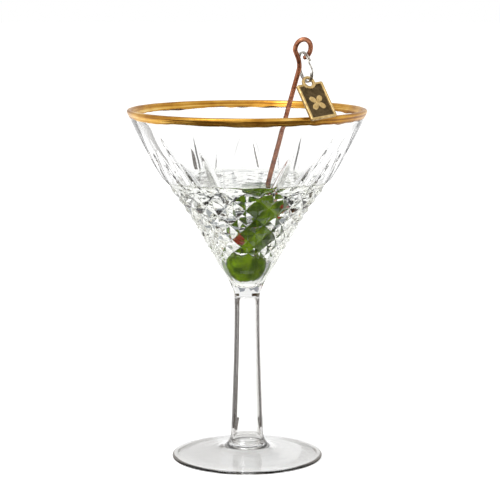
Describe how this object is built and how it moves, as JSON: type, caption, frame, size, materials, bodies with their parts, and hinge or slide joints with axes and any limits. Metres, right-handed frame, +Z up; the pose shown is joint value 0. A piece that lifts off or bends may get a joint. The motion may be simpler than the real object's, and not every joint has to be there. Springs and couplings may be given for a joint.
{
  "type": "martini glass",
  "caption": "Cut-glass martini glass with gilded lip, clear drink, stuffed olives on a looped copper wire pick, and a small brass charm hanging from a split ring.",
  "frame": {"origin": "centre of the foot's underside, on the surface that the glass stands on", "axes": "+Z up along the glass's axis; -Y is the front; the pick leans towards the front and towards +X"},
  "size_m": [0.115, 0.115, 0.2057],
  "materials": {
    "cut_glass": "polished clear glass, cut by hand",
    "gilding": "hand-painted bright gold with brush marks",
    "drink": "clear liquid",
    "copper_wire": "aged copper, half bright",
    "olive_skin": "wet, waxy green skin",
    "pimento": "wet red pepper",
    "ring_steel": "nickel-plated, slightly dull",
    "antique_brass": "antiqued brass, bright on its edges and dark in its field"
  },
  "bodies": {
    "glass": {"bowl": "cut_glass", "stem": "cut_glass", "foot": "cut_glass", "gold_rim_band": "gilding", "drink": "drink"},
    "pick": {"cocktail_pick": "copper_wire"},
    "olive_low": {"olive_lower": "olive_skin", "pimento_lower": "pimento"},
    "olive_mid": {"olive_middle": "olive_skin", "pimento_middle": "pimento"},
    "olive_top": {"olive_upper": "olive_skin", "pimento_upper": "pimento"},
    "ring": {"split_ring": "ring_steel"},
    "charm": {"charm": "antique_brass"}
  },
  "joints": [
    {"name": "pick_lift", "type": "slide", "parent": "glass", "child": "pick", "axis": [0.2293, -0.3846, 0.8942], "range_m": [0, 0.12]},
    {"name": "olive_low_turn", "type": "hinge", "parent": "pick", "child": "olive_low", "pos_m": [-0.00054, 0.0003, 0.09651], "axis": [0.2293, -0.3846, 0.8942], "continuous": true},
    {"name": "olive_mid_turn", "type": "hinge", "parent": "pick", "child": "olive_mid", "pos_m": [0.00342, -0.00635, 0.11198], "axis": [0.2293, -0.3846, 0.8942], "continuous": true},
    {"name": "olive_top_turn", "type": "hinge", "parent": "pick", "child": "olive_top", "pos_m": [0.00725, -0.01278, 0.12691], "axis": [0.2293, -0.3846, 0.8942], "continuous": true},
    {"name": "ring_swing", "type": "hinge", "parent": "pick", "child": "ring", "pos_m": [0.02539, -0.04251, 0.19693], "axis": [-0.9135, -0.3634, -0.1827], "range_deg": [0, 30]},
    {"name": "charm_swing", "type": "hinge", "parent": "ring", "child": "charm", "pos_m": [0.02774, -0.04251, 0.18517], "axis": [0.3564, -0.9316, 0.0713], "range_deg": [-20, 45]}
  ]
}
